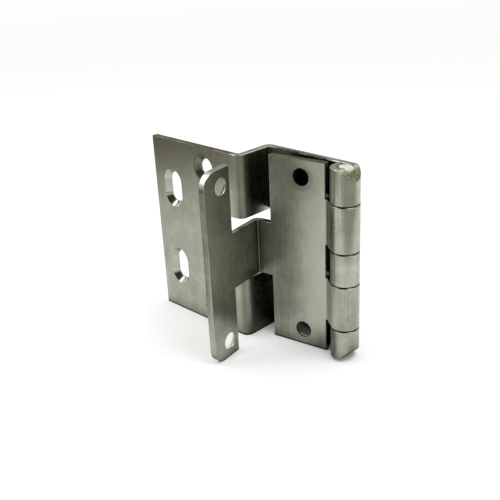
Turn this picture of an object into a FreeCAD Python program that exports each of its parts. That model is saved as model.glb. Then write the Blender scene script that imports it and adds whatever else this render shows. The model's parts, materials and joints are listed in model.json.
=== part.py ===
# Five knuckle wrap-around cabinet hinge: a slotted leaf, a wrap leaf and the tight pin that joins them.
import FreeCAD, Part
import math
import os

import Sketcher

# Driving sizes, in millimetres and degrees.
SIZES = {
    "height": (69.85, "both leaves and the barrel, along the pin"),
    "sheet_thickness": (2.41, "steel sheet of both leaves"),
    "bend_radius": (0.5, "inside radius of every fold"),
    "edge_break": (0.2, "broken corner along the cut edges of the sheet"),
    "pin_diameter": (5.1, "tight pin, and the bore of the fixed knuckles"),
    "pin_chamfer": (0.4, "broken corner at the upper end of the pin"),
    "running_clearance": (0.05, "radial, between the pin and the moving knuckles"),
    "knuckle_gap": (0.3, "along the pin, between neighbouring knuckles"),
    "middle_knuckle": (11.65, "length of the middle knuckle"),
    "moving_knuckle": (16.35, "length of each knuckle of the wrap leaf"),
    "knuckle_room": (0.28, "start of the swage to the leaf edges beside the knuckles"),
    "roll_gap": (0.35, "free end of a rolled knuckle to its own leaf"),
    "tip_start": (1.3, "pin axis to the start of the slanted tips"),
    "tip_angle": (47.0, "slant of the tips, from the level ends"),
    "tip_turn": (5.0, "slant of the tips towards the front"),
    "lower_tip_rise": (1.1, "lower end of the barrel above that of the leaves"),
    "leaf_gap": (0.3, "between the closed leaves"),
    "open_angle": (9.7, "opening of the wrap leaf at rest"),
    "web_length": (35.6, "pin axis to the face of the jog"),
    "jog_depth": (15.0, "face of the web to face of the wing"),
    "wing_length": (45.7, "face of the jog to the free edge of the wing"),
    "window_room": (1.5, "neck to its window, above and below"),
    "window_in_wing": (5.5, "window beyond the back of the jog"),
    "window_in_web": (5.5, "window beyond the face of the jog"),
    "slot_from_edge": (9.8, "free edge of the wing to the slots"),
    "slot_spacing": (32.2, "between the slots' centres"),
    "slot_travel": (5.3, "between the end centres of one slot"),
    "wing_hole_from_edge": (27.6, "free edge of the wing to its round holes"),
    "wing_hole_from_end": (7.85, "upper or lower end to the wing's round holes"),
    "hole_diameter": (6.2, "every screw hole, and the width of a slot"),
    "countersink_land": (0.51, "sheet left straight below a countersink"),
    "countersink_angle": (82.0, "full angle of a countersink"),
    "swage_angle": (46.0, "turn of the wrap leaf towards its barrel"),
    "neck_setback": (0.75, "face of the jog to the face of the neck, when closed"),
    "fold_overhang": (5.5, "far edge of the plate to the face of the neck"),
    "neck_height": (20.4, "neck between the plate and the strip"),
    "strip_setback": (2.71, "face of the wing to the strip, when closed"),
    "strip_width": (13.75, "strip that lies on the panel's face"),
    "strip_corner": (5.8, "radius of the strip's free corners"),
    "leaf_hole_from_edge": (9.3, "knuckle edge to the plate's holes"),
    "leaf_hole_from_end": (6.125, "upper or lower end to the plate's holes"),
    "strip_hole_from_edge": (5.0, "neck side of the strip to its holes"),
    "strip_hole_from_end": (6.125, "upper or lower end to the strip's holes"),
}

# Levels shared by the pieces, measured from the pin axis: X away from the leaves, Y to the back, Z up.
PIN_RADIUS = "(Sizes.pin_diameter / 2)"
FIXED_RADIUS = f"({PIN_RADIUS} + Sizes.sheet_thickness)"
MOVING_BORE = f"({PIN_RADIUS} + Sizes.running_clearance)"
MOVING_RADIUS = f"({MOVING_BORE} + Sizes.sheet_thickness)"
TOP = "(Sizes.height / 2)"
MIDDLE_TOP = "(Sizes.middle_knuckle / 2)"
MOVING_LOW = f"({MIDDLE_TOP} + Sizes.knuckle_gap)"
MOVING_TOP = f"({MOVING_LOW} + Sizes.moving_knuckle)"
END_LOW = f"({MOVING_TOP} + Sizes.knuckle_gap)"

JOG_FACE = "(-Sizes.web_length)"
JOG_BACK = f"({JOG_FACE} - Sizes.sheet_thickness)"
WING_FACE = f"({PIN_RADIUS} - Sizes.jog_depth)"
WING_BACK = f"({WING_FACE} + Sizes.sheet_thickness)"
WING_EDGE = f"({JOG_FACE} - Sizes.wing_length)"
SLOT_LINE = f"({WING_EDGE} + Sizes.slot_from_edge)"
WING_HOLE_LINE = f"({WING_EDGE} + Sizes.wing_hole_from_edge)"
WINDOW_TOP = "(Sizes.neck_height / 2 + Sizes.window_room)"

PLATE_BACK = f"({PIN_RADIUS} - Sizes.leaf_gap)"
PLATE_FACE = f"({PLATE_BACK} - Sizes.sheet_thickness)"
SWAGE_LEVEL = f"({PLATE_FACE} - Sizes.bend_radius)"
SWAGE_REACH = (
    f"(({MOVING_RADIUS} + Sizes.bend_radius + {SWAGE_LEVEL} * cos(Sizes.swage_angle))"
    " / sin(Sizes.swage_angle))"
)
KNUCKLE_REACH = f"({SWAGE_REACH} + Sizes.knuckle_room)"
KNUCKLE_EDGE = f"(-{KNUCKLE_REACH})"
TIP_DROP = f"(({KNUCKLE_REACH} - Sizes.tip_start) * tan(Sizes.tip_angle))"
BARREL_LOW = f"({TOP} - Sizes.lower_tip_rise)"
NECK_FACE = f"({JOG_FACE} + Sizes.neck_setback)"
NECK_BACK = f"({NECK_FACE} - Sizes.sheet_thickness)"
PLATE_EDGE = f"({NECK_FACE} + Sizes.fold_overhang)"
STRIP_FAR = f"({WING_FACE} - Sizes.strip_setback)"
STRIP_NEAR = f"({STRIP_FAR} - Sizes.strip_width)"
PLATE_HOLE_LINE = f"({KNUCKLE_EDGE} - Sizes.leaf_hole_from_edge)"
STRIP_HOLE_LINE = f"({STRIP_FAR} - Sizes.strip_hole_from_edge)"

SLOT_RISE = "(Sizes.slot_spacing / 2)"
WING_HOLE_RISE = f"({TOP} - Sizes.wing_hole_from_end)"
PLATE_HOLE_RISE = f"({TOP} - Sizes.leaf_hole_from_end)"
STRIP_HOLE_RISE = f"({TOP} - Sizes.strip_hole_from_end)"
HOLE_WIDTH = "Sizes.hole_diameter"
SINK_DEPTH = "(Sizes.sheet_thickness - Sizes.countersink_land)"
SINK_WIDTH = f"({HOLE_WIDTH} + 2 * {SINK_DEPTH} * tan(Sizes.countersink_angle / 2))"

# Ends of a sketch curve, and the sketch's own origin.
START = 1
END = 2
CENTRE = 3
ORIGIN = (-1, 1)

# How close counts as touching, and the cosine between two faces below which their corner is sharp.
NEAR = 0.01
SHARP_COSINE = 0.5


def make_sheet(doc):
    """Write the driving sizes into a sheet, one named cell each."""
    sheet = doc.addObject("Spreadsheet::Sheet", "Sizes")
    for row, (alias, (number, note)) in enumerate(SIZES.items(), start=1):
        sheet.set(f"A{row}", alias)
        sheet.set(f"B{row}", str(number))
        sheet.setAlias(f"B{row}", alias)
        sheet.set(f"C{row}", note)
    doc.recompute()
    return sheet


def value(expression):
    """Number that an expression over the sheet has now."""
    return float(FreeCAD.ActiveDocument.Sizes.evalExpression(expression))


def negative(expression):
    """The same length on the other side of the origin."""
    return f"(-{expression})"


def origin_plane(body, role):
    """One of the body's own three origin planes."""
    return next(plane for plane in body.Origin.OriginFeatures if plane.Role == role)


def new_sketch(body, role, name, offset=None):
    """Sketch on an origin plane of the body, or beside it by an offset along the plane's normal."""
    sketch = body.newObject("Sketcher::SketchObject", name)
    sketch.AttachmentSupport = (origin_plane(body, role), [""])
    sketch.MapMode = "FlatFace"
    if offset:
        sketch.setExpression("AttachmentOffset.Base.z", offset)
    return sketch


def constrain(sketch, kind, *references):
    """Add a constraint that has no size."""
    return sketch.addConstraint(Sketcher.Constraint(kind, *references))


def size(sketch, expression, kind, *references):
    """Add a constraint whose size follows the sheet."""
    number = value(expression)
    if kind == "Angle":
        number = math.radians(number)
    index = sketch.addConstraint(Sketcher.Constraint(kind, *references, number))
    sketch.setExpression(f"Constraints[{index}]", expression)
    return index


def locate(sketch, kind, curve, point, expression):
    """Hold a point at a signed distance from the sketch's origin along one of its axes."""
    if value(expression) < 0:
        size(sketch, negative(expression), kind, curve, point, *ORIGIN)
    else:
        size(sketch, expression, kind, *ORIGIN, curve, point)


def add_line(sketch, first, last):
    """Straight edge between two points of the sketch."""
    return sketch.addGeometry(Part.LineSegment(FreeCAD.Vector(*first), FreeCAD.Vector(*last)))


def add_arc(sketch, centre, radius, first_angle, last_angle):
    """Round edge, counter-clockwise between two angles in degrees."""
    circle = Part.Circle(FreeCAD.Vector(*centre), FreeCAD.Vector(0, 0, 1), radius)
    return sketch.addGeometry(
        Part.ArcOfCircle(circle, math.radians(first_angle), math.radians(last_angle))
    )


def add_rectangle(sketch, left, right, low, high):
    """Rectangle whose four sides lie at signed expressions."""
    x0, x1 = value(left), value(right)
    y0, y1 = value(low), value(high)
    corners = [(x0, y0), (x1, y0), (x1, y1), (x0, y1)]
    sides = [add_line(sketch, (*a, 0), (*b, 0)) for a, b in zip(corners, corners[1:] + corners[:1])]
    bottom, right_side, top, left_side = sides
    for side, following in zip(sides, sides[1:] + sides[:1]):
        constrain(sketch, "Coincident", side, END, following, START)
    for side in (bottom, top):
        constrain(sketch, "Horizontal", side)
    for side in (right_side, left_side):
        constrain(sketch, "Vertical", side)
    locate(sketch, "DistanceX", bottom, START, left)
    locate(sketch, "DistanceX", bottom, END, right)
    locate(sketch, "DistanceY", bottom, START, low)
    locate(sketch, "DistanceY", top, START, high)


def add_circle(sketch, x, y, diameter):
    """Circle at a signed place."""
    centre = FreeCAD.Vector(value(x), value(y), 0)
    circle = sketch.addGeometry(Part.Circle(centre, FreeCAD.Vector(0, 0, 1), value(diameter) / 2))
    size(sketch, diameter, "Diameter", circle)
    locate(sketch, "DistanceX", circle, CENTRE, x)
    locate(sketch, "DistanceY", circle, CENTRE, y)


def add_slot(sketch, x, y, width, travel):
    """Upright slot about a signed place, with round ends a travel apart."""
    x0, y0 = value(x), value(y)
    radius = value(width) / 2
    rise = value(travel) / 2
    upper = add_arc(sketch, (x0, y0 + rise, 0), radius, 0, 180)
    left = add_line(sketch, (x0 - radius, y0 + rise, 0), (x0 - radius, y0 - rise, 0))
    lower = add_arc(sketch, (x0, y0 - rise, 0), radius, 180, 360)
    right = add_line(sketch, (x0 + radius, y0 - rise, 0), (x0 + radius, y0 + rise, 0))
    outline = [upper, left, lower, right]
    for edge, following in zip(outline, outline[1:] + outline[:1]):
        constrain(sketch, "Tangent", edge, END, following, START)
    constrain(sketch, "Vertical", left)
    size(sketch, f"({width} / 2)", "Radius", upper)
    locate(sketch, "DistanceX", upper, CENTRE, x)
    locate(sketch, "DistanceY", upper, CENTRE, f"({y} + {travel} / 2)")
    locate(sketch, "DistanceY", lower, CENTRE, f"({y} - {travel} / 2)")


def pad(body, sketch, name):
    """Raise a plan outline to the hinge's height, half above and half below the sketch."""
    feature = body.newObject("PartDesign::Pad", name)
    feature.Profile = sketch
    feature.SideType = "Symmetric"
    feature.setExpression("Length", "Sizes.height")
    body.Tip = feature
    FreeCAD.ActiveDocument.recompute()
    return feature


def finish_cut(body, feature, before):
    """Take a cut as the body's new state, and make sure that it took material away."""
    body.Tip = feature
    FreeCAD.ActiveDocument.recompute()
    if not body.Shape.Volume < before:
        raise RuntimeError(f"{feature.Name} cut nothing from {body.Label}")
    return feature


def cut_through(body, sketch, name):
    """Cut an outline through the whole body, both ways from its sketch."""
    before = body.Shape.Volume
    feature = body.newObject("PartDesign::Pocket", name)
    feature.Profile = sketch
    feature.SideType = "Symmetric"
    feature.Type = "ThroughAll"
    return finish_cut(body, feature, before)


def cut_above(body, sketch, name):
    """Cut an outline from its sketch upwards, out of the body."""
    before = body.Shape.Volume
    feature = body.newObject("PartDesign::Pocket", name)
    feature.Profile = sketch
    feature.Type = "ThroughAll"
    feature.Reversed = True
    return finish_cut(body, feature, before)


def cut_countersink(body, sketch, name, along_normal):
    """Sink the mouths drawn on a face down to the width of their holes."""
    before = body.Shape.Volume
    feature = body.newObject("PartDesign::Pocket", name)
    feature.Profile = sketch
    feature.Reversed = along_normal
    feature.setExpression("Length", SINK_DEPTH)
    feature.setExpression("TaperAngle", "-Sizes.countersink_angle / 2")
    return finish_cut(body, feature, before)


def mirror_down(body, feature, name):
    """Repeat a cut below the hinge's middle."""
    before = body.Shape.Volume
    mirrored = body.newObject("PartDesign::Mirrored", name)
    mirrored.Originals = [feature]
    mirrored.MirrorPlane = (origin_plane(body, "XY_Plane"), [""])
    return finish_cut(body, mirrored, before)


def treat_edges(body, kind, setting, expression, name, wanted):
    """Round or break each edge that is wanted, to the size that the setting follows."""
    before = body.Shape.Volume
    base = body.Tip
    shape = base.Shape
    edges = [f"Edge{index}" for index, edge in enumerate(shape.Edges, start=1) if wanted(shape, edge)]
    feature = body.newObject(kind, name)
    feature.Base = (base, edges)
    feature.setExpression(setting, expression)
    return finish_cut(body, feature, before)


def is_bore(face, radius):
    """Whether a face is part of the round hole that the pin goes through."""
    surface = face.Surface
    return surface.isDerivedFrom("Part::GeomCylinder") and abs(surface.Radius - radius) < NEAR


def is_outer_corner(shape, edge, bore):
    """Whether an edge is a sharp outer corner of the sheet, away from the bore."""
    faces = shape.ancestorsOfType(edge, Part.Face)
    if any(is_bore(face, bore) for face in faces):
        return False
    middle = edge.valueAt((edge.FirstParameter + edge.LastParameter) / 2)
    first, second = (face.normalAt(*face.Surface.parameter(middle)) for face in faces)
    inside_a_fold = shape.isInside(middle + (first - 2 * second) * NEAR, NEAR / 10, False)
    return first.dot(second) < SHARP_COSINE and not inside_a_fold


def break_edges(body, bore):
    """Break the corners that shearing would leave sharp, and leave the bore as it is."""
    radius = value(bore)
    treat_edges(
        body,
        "PartDesign::Chamfer",
        "Size",
        "Sizes.edge_break",
        "broken_edges",
        lambda shape, edge: is_outer_corner(shape, edge, radius),
    )


def cut_tip(body, name, level, low_side, beyond):
    """Dress one end of the barrel to a level that falls away in a slant, turned towards the front."""
    sketch = new_sketch(body, "XZ_Plane", f"{name}_outline")
    turned = FreeCAD.Rotation(FreeCAD.Vector(0, 1, 0), -value("Sizes.tip_turn"))
    sketch.AttachmentOffset = FreeCAD.Placement(FreeCAD.Vector(), turned)
    sketch.setExpression("AttachmentOffset.Rotation.Angle", negative("Sizes.tip_turn"))
    left = negative(FIXED_RADIUS)
    places = [
        (left, level),
        ("Sizes.tip_start", level),
        (KNUCKLE_REACH, low_side),
        (KNUCKLE_REACH, beyond),
        (left, beyond),
    ]
    corners = [(value(x), value(y), 0) for x, y in places]
    edges = [add_line(sketch, a, b) for a, b in zip(corners, corners[1:] + corners[:1])]
    for edge, following in zip(edges, edges[1:] + edges[:1]):
        constrain(sketch, "Coincident", edge, END, following, START)
    for edge, (x, y) in zip(edges, places):
        locate(sketch, "DistanceX", edge, START, x)
        locate(sketch, "DistanceY", edge, START, y)
    return cut_through(body, sketch, name)


def cut_tips(body):
    """Slant both ends of the barrel, away from the leaves."""
    cut_tip(body, "upper_tip", TOP, f"({TOP} - {TIP_DROP})", "Sizes.height")
    cut_tip(
        body,
        "lower_tip",
        negative(BARREL_LOW),
        negative(f"({BARREL_LOW} - {TIP_DROP})"),
        negative("Sizes.height"),
    )


def join_outline(sketch, joints):
    """Join the ends of curves, smoothly where the sheet runs on without a corner."""
    for smooth, first, first_end, second, second_end in joints:
        constrain(sketch, "Tangent" if smooth else "Coincident", first, first_end, second, second_end)


def slotted_section(body):
    """Plan of the slotted leaf: wing, jog and web of one folded sheet, rolled round the pin from behind."""
    sketch = new_sketch(body, "XY_Plane", "slotted_section")
    t = value("Sizes.sheet_thickness")
    bend = value("Sizes.bend_radius")
    bore = value(PIN_RADIUS)
    barrel = value(FIXED_RADIUS)
    jog_x = value(JOG_FACE)
    wing_y = value(WING_FACE)
    edge_x = value(WING_EDGE)
    roll_end = 180 - math.degrees(math.asin((bore - value("Sizes.roll_gap")) / barrel)) - 360
    end_x = math.cos(math.radians(roll_end))
    end_y = math.sin(math.radians(roll_end))
    wing_bend = (jog_x - bend - t, wing_y + bend + t, 0)
    web_bend = (jog_x + bend, bore - bend, 0)

    wing_face = add_line(sketch, (edge_x, wing_y, 0), (wing_bend[0], wing_y, 0))
    wing_outer = add_arc(sketch, wing_bend, bend + t, -90, 0)
    jog_face = add_line(sketch, (jog_x, wing_bend[1], 0), (jog_x, web_bend[1], 0))
    web_inner = add_arc(sketch, web_bend, bend, 90, 180)
    web_face = add_line(sketch, (web_bend[0], bore, 0), (0, bore, 0))
    bore_arc = add_arc(sketch, (0, 0, 0), bore, roll_end, 90)
    roll_edge = add_line(sketch, (bore * end_x, bore * end_y, 0), (barrel * end_x, barrel * end_y, 0))
    barrel_arc = add_arc(sketch, (0, 0, 0), barrel, roll_end, 90)
    web_back = add_line(sketch, (0, barrel, 0), (web_bend[0], barrel, 0))
    web_outer = add_arc(sketch, web_bend, bend + t, 90, 180)
    jog_back = add_line(sketch, (jog_x - t, web_bend[1], 0), (jog_x - t, wing_bend[1], 0))
    wing_inner = add_arc(sketch, wing_bend, bend, -90, 0)
    wing_back = add_line(sketch, (wing_bend[0], wing_y + t, 0), (edge_x, wing_y + t, 0))
    free_edge = add_line(sketch, (edge_x, wing_y + t, 0), (edge_x, wing_y, 0))

    join_outline(sketch, [
        (True, wing_face, END, wing_outer, START),
        (True, wing_outer, END, jog_face, START),
        (True, jog_face, END, web_inner, END),
        (True, web_inner, START, web_face, START),
        (True, web_face, END, bore_arc, END),
        (False, bore_arc, START, roll_edge, START),
        (False, roll_edge, END, barrel_arc, START),
        (True, barrel_arc, END, web_back, START),
        (True, web_back, END, web_outer, START),
        (True, web_outer, END, jog_back, START),
        (True, jog_back, END, wing_inner, END),
        (True, wing_inner, START, wing_back, START),
        (False, wing_back, END, free_edge, START),
        (False, free_edge, END, wing_face, START),
    ])
    for level in (wing_face, web_face, web_back, wing_back):
        constrain(sketch, "Horizontal", level)
    for upright in (jog_face, jog_back, free_edge):
        constrain(sketch, "Vertical", upright)
    for round_pin in (bore_arc, barrel_arc):
        constrain(sketch, "Coincident", round_pin, CENTRE, *ORIGIN)
    constrain(sketch, "Coincident", wing_outer, CENTRE, wing_inner, CENTRE)
    constrain(sketch, "Coincident", web_outer, CENTRE, web_inner, CENTRE)
    constrain(sketch, "PointOnObject", *ORIGIN, roll_edge)
    size(sketch, PIN_RADIUS, "Radius", bore_arc)
    size(sketch, FIXED_RADIUS, "Radius", barrel_arc)
    size(sketch, "Sizes.bend_radius", "Radius", web_inner)
    size(sketch, "Sizes.bend_radius", "Radius", wing_inner)
    size(sketch, "Sizes.roll_gap", "DistanceY", barrel_arc, START, web_face, START)
    locate(sketch, "DistanceX", jog_face, START, JOG_FACE)
    locate(sketch, "DistanceY", wing_face, START, WING_FACE)
    locate(sketch, "DistanceX", free_edge, START, WING_EDGE)
    return sketch


def wrap_section(body):
    """Plan of the wrap leaf: strip, neck and plate of one folded sheet, swaged and rolled from the front."""
    sketch = new_sketch(body, "XY_Plane", "wrap_section")
    t = value("Sizes.sheet_thickness")
    bend = value("Sizes.bend_radius")
    bore = value(MOVING_BORE)
    barrel = value(MOVING_RADIUS)
    turn = value("Sizes.swage_angle")
    sine = math.sin(math.radians(turn))
    cosine = math.cos(math.radians(turn))
    face_y = value(PLATE_FACE)
    neck_x = value(NECK_FACE)
    near_y = value(STRIP_NEAR)
    tab_angle = 270 - turn
    roll_end = tab_angle - math.degrees(math.acos((bore - value("Sizes.roll_gap")) / barrel)) + 360
    end_x = math.cos(math.radians(roll_end))
    end_y = math.sin(math.radians(roll_end))
    fold = (neck_x + bend, face_y - bend, 0)
    swage = (-value(SWAGE_REACH), value(SWAGE_LEVEL), 0)
    tab_face_start = (swage[0] + bend * sine, swage[1] + bend * cosine, 0)
    tab_back_end = (swage[0] + (bend + t) * sine, swage[1] + (bend + t) * cosine, 0)

    neck_face = add_line(sketch, (neck_x, near_y, 0), (neck_x, fold[1], 0))
    fold_inner = add_arc(sketch, fold, bend, 90, 180)
    plate_face = add_line(sketch, (fold[0], face_y, 0), (swage[0], face_y, 0))
    swage_inner = add_arc(sketch, swage, bend, 90 - turn, 90)
    tab_face = add_line(sketch, tab_face_start, (-barrel * sine, -barrel * cosine, 0))
    barrel_arc = add_arc(sketch, (0, 0, 0), barrel, tab_angle, roll_end)
    roll_edge = add_line(sketch, (barrel * end_x, barrel * end_y, 0), (bore * end_x, bore * end_y, 0))
    bore_arc = add_arc(sketch, (0, 0, 0), bore, tab_angle, roll_end)
    tab_back = add_line(sketch, (-bore * sine, -bore * cosine, 0), tab_back_end)
    swage_outer = add_arc(sketch, swage, bend + t, 90 - turn, 90)
    plate_back = add_line(sketch, (swage[0], face_y + t, 0), (fold[0], face_y + t, 0))
    fold_outer = add_arc(sketch, fold, bend + t, 90, 180)
    neck_back = add_line(sketch, (neck_x - t, fold[1], 0), (neck_x - t, near_y, 0))
    strip_edge = add_line(sketch, (neck_x - t, near_y, 0), (neck_x, near_y, 0))

    join_outline(sketch, [
        (True, neck_face, END, fold_inner, END),
        (True, fold_inner, START, plate_face, START),
        (True, plate_face, END, swage_inner, END),
        (True, swage_inner, START, tab_face, START),
        (True, tab_face, END, barrel_arc, START),
        (False, barrel_arc, END, roll_edge, START),
        (False, roll_edge, END, bore_arc, END),
        (True, bore_arc, START, tab_back, START),
        (True, tab_back, END, swage_outer, START),
        (True, swage_outer, END, plate_back, START),
        (True, plate_back, END, fold_outer, START),
        (True, fold_outer, END, neck_back, START),
        (False, neck_back, END, strip_edge, START),
        (False, strip_edge, END, neck_face, START),
    ])
    for level in (plate_face, plate_back, strip_edge):
        constrain(sketch, "Horizontal", level)
    for upright in (neck_face, neck_back):
        constrain(sketch, "Vertical", upright)
    for round_pin in (bore_arc, barrel_arc):
        constrain(sketch, "Coincident", round_pin, CENTRE, *ORIGIN)
    constrain(sketch, "Coincident", fold_outer, CENTRE, fold_inner, CENTRE)
    constrain(sketch, "Coincident", swage_outer, CENTRE, swage_inner, CENTRE)
    constrain(sketch, "Parallel", tab_face, tab_back)
    constrain(sketch, "PointOnObject", *ORIGIN, roll_edge)
    size(sketch, MOVING_BORE, "Radius", bore_arc)
    size(sketch, MOVING_RADIUS, "Radius", barrel_arc)
    size(sketch, "Sizes.bend_radius", "Radius", fold_inner)
    size(sketch, "Sizes.bend_radius", "Radius", swage_inner)
    size(sketch, "Sizes.roll_gap", "Distance", barrel_arc, END, tab_back)
    size(sketch, "(180 - Sizes.swage_angle)", "Angle", plate_face, END, tab_face, START)
    locate(sketch, "DistanceY", plate_face, START, PLATE_FACE)
    locate(sketch, "DistanceX", neck_face, START, NECK_FACE)
    locate(sketch, "DistanceY", neck_face, START, STRIP_NEAR)
    return sketch


def make_slotted_leaf(doc):
    """Leaf for the cabinet: fixed knuckles, a window for the neck, countersunk slots and holes."""
    body = doc.addObject("PartDesign::Body", "slotted_leaf")
    pad(body, slotted_section(body), "slotted_sheet")

    notch = new_sketch(body, "XZ_Plane", "moving_knuckle_room")
    add_rectangle(notch, KNUCKLE_EDGE, KNUCKLE_REACH, MIDDLE_TOP, END_LOW)
    upper_notch = cut_through(body, notch, "upper_notch")
    mirror_down(body, upper_notch, "lower_notch")

    window = new_sketch(body, "XZ_Plane", "window_outline")
    add_rectangle(
        window,
        f"({JOG_BACK} - Sizes.window_in_wing)",
        f"({JOG_FACE} + Sizes.window_in_web)",
        negative(WINDOW_TOP),
        WINDOW_TOP,
    )
    cut_through(body, window, "neck_window")
    break_edges(body, PIN_RADIUS)

    holes = new_sketch(body, "XZ_Plane", "wing_holes")
    mouths = new_sketch(body, "XZ_Plane", "wing_countersinks", negative(WING_FACE))
    for sketch, width in ((holes, HOLE_WIDTH), (mouths, SINK_WIDTH)):
        for rise in (SLOT_RISE, negative(SLOT_RISE)):
            add_slot(sketch, SLOT_LINE, rise, width, "Sizes.slot_travel")
        for rise in (WING_HOLE_RISE, negative(WING_HOLE_RISE)):
            add_circle(sketch, WING_HOLE_LINE, rise, width)
    cut_through(body, holes, "wing_piercing")
    cut_countersink(body, mouths, "wing_sinking", along_normal=False)

    cut_tips(body)
    return body


def make_wrap_leaf(doc):
    """Leaf for the door: moving knuckles, and a neck that carries the strip on the door's inner face."""
    body = doc.addObject("PartDesign::Body", "wrap_leaf")
    pad(body, wrap_section(body), "wrap_sheet")

    middle = new_sketch(body, "XZ_Plane", "middle_knuckle_room")
    add_rectangle(middle, KNUCKLE_EDGE, KNUCKLE_REACH, negative(MOVING_LOW), MOVING_LOW)
    cut_through(body, middle, "middle_notch")

    end = new_sketch(body, "XZ_Plane", "end_knuckle_room")
    add_rectangle(end, KNUCKLE_EDGE, KNUCKLE_REACH, MOVING_TOP, "Sizes.height")
    upper_end = cut_through(body, end, "upper_end_notch")
    mirror_down(body, upper_end, "lower_end_notch")

    side = new_sketch(body, "XY_Plane", "neck_side", "(Sizes.neck_height / 2)")
    add_rectangle(
        side,
        f"({NECK_BACK} - Sizes.sheet_thickness)",
        PLATE_EDGE,
        STRIP_FAR,
        f"({PLATE_BACK} + Sizes.sheet_thickness)",
    )
    upper_side = cut_above(body, side, "above_neck")
    mirror_down(body, upper_side, "below_neck")

    treat_edges(
        body, "PartDesign::Fillet", "Radius", "Sizes.strip_corner", "strip_corners", is_strip_corner
    )
    break_edges(body, MOVING_BORE)

    add_holes(body, "XZ_Plane", "plate", PLATE_HOLE_LINE, PLATE_HOLE_RISE, negative(PLATE_BACK))
    add_holes(body, "YZ_Plane", "strip", STRIP_HOLE_LINE, STRIP_HOLE_RISE, NECK_BACK)
    return body


def is_strip_corner(shape, edge):
    """Whether an edge runs through the sheet at a free corner of the strip."""
    box = edge.BoundBox
    at_edge = abs(box.YMin - value(STRIP_NEAR)) < NEAR and box.YLength < NEAR
    at_end = abs(abs(box.Center.z) - value(TOP)) < NEAR and box.ZLength < NEAR
    return at_edge and at_end


def add_holes(body, role, name, line, rise, face):
    """Screw holes above and below the middle, sunk from the side that the screws are driven from."""
    holes = new_sketch(body, role, f"{name}_holes")
    mouths = new_sketch(body, role, f"{name}_countersinks", face)
    for sketch, width in ((holes, HOLE_WIDTH), (mouths, SINK_WIDTH)):
        for level in (rise, negative(rise)):
            add_circle(sketch, line, level, width)
    cut_through(body, holes, f"{name}_piercing")
    cut_countersink(body, mouths, f"{name}_sinking", along_normal=True)


def make_pin(doc):
    """Pin through all the knuckles, dressed flush with the slanted tips."""
    body = doc.addObject("PartDesign::Body", "hinge_pin")
    section = new_sketch(body, "XY_Plane", "pin_section")
    circle = section.addGeometry(
        Part.Circle(FreeCAD.Vector(0, 0, 0), FreeCAD.Vector(0, 0, 1), value(PIN_RADIUS))
    )
    constrain(section, "Coincident", circle, CENTRE, *ORIGIN)
    size(section, "Sizes.pin_diameter", "Diameter", circle)
    pad(body, section, "pin_rod")
    treat_edges(body, "PartDesign::Chamfer", "Size", "Sizes.pin_chamfer", "pin_end", is_end_rim)
    cut_tips(body)
    return body


def is_end_rim(shape, edge):
    """Whether an edge goes round the upper end of the pin."""
    return edge.BoundBox.ZMin > value(TOP) - NEAR


def place(body, turn=None):
    """Put the pin axis in the hinge's frame, whose origin is midway between the slots on the wing's back."""
    body.setExpression("Placement.Base.x", negative(SLOT_LINE))
    body.setExpression("Placement.Base.y", negative(WING_BACK))
    if turn:
        body.Placement.Rotation = FreeCAD.Rotation(FreeCAD.Vector(0, 0, 1), value(turn))
        body.setExpression("Placement.Rotation.Angle", turn)


def check(doc, bodies):
    """Stop unless every feature was made and every piece is one sound solid."""
    for item in doc.Objects:
        if "Invalid" in item.State or "Error" in item.State:
            raise RuntimeError(f"{item.Name} was not made: {item.State}")
    for body in bodies:
        shape = body.Shape
        if shape.isNull() or not shape.isValid() or len(shape.Solids) != 1:
            raise RuntimeError(f"{body.Label} is not one sound solid")


def main():
    """Build the three pieces, check them and write each to its own file."""
    doc = FreeCAD.newDocument("five_knuckle_hinge")
    make_sheet(doc)
    slotted_leaf = make_slotted_leaf(doc)
    wrap_leaf = make_wrap_leaf(doc)
    hinge_pin = make_pin(doc)
    place(slotted_leaf)
    place(wrap_leaf, "Sizes.open_angle")
    place(hinge_pin)
    doc.recompute()
    bodies = [slotted_leaf, wrap_leaf, hinge_pin]
    check(doc, bodies)
    os.makedirs("parts", exist_ok=True)
    for body in bodies:
        body.Shape.exportStep(f"parts/{body.Label}.step")


main()
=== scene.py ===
import json
import math
from typing import NamedTuple

import bpy
from bpy.props import FloatProperty, FloatVectorProperty, PointerProperty
from mathutils import Matrix, Vector


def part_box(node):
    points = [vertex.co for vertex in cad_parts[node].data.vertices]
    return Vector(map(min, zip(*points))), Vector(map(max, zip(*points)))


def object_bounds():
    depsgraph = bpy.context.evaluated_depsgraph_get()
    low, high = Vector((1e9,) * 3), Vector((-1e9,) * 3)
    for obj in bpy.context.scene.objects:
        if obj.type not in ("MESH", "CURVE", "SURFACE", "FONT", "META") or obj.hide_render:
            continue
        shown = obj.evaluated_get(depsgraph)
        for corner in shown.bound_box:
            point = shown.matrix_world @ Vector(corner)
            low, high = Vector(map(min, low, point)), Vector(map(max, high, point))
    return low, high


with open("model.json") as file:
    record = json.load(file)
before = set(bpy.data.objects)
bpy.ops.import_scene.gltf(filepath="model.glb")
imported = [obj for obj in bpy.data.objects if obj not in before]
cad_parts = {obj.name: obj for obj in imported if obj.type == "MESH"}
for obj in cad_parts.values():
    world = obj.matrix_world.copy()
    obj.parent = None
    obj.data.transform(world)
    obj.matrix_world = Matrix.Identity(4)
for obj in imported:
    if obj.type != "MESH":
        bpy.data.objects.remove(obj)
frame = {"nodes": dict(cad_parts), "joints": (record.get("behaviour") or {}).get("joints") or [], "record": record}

bl_info = {
    "name": "Five Knuckle Hinge",
    "version": (1, 0, 0),
    "blender": (4, 5, 0),
    "location": "3D View > Sidebar > Hinge",
    "description": "Gives a wrap-around cabinet hinge its brushed steel and sets it on a pale studio floor",
    "category": "Object",
}

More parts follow.
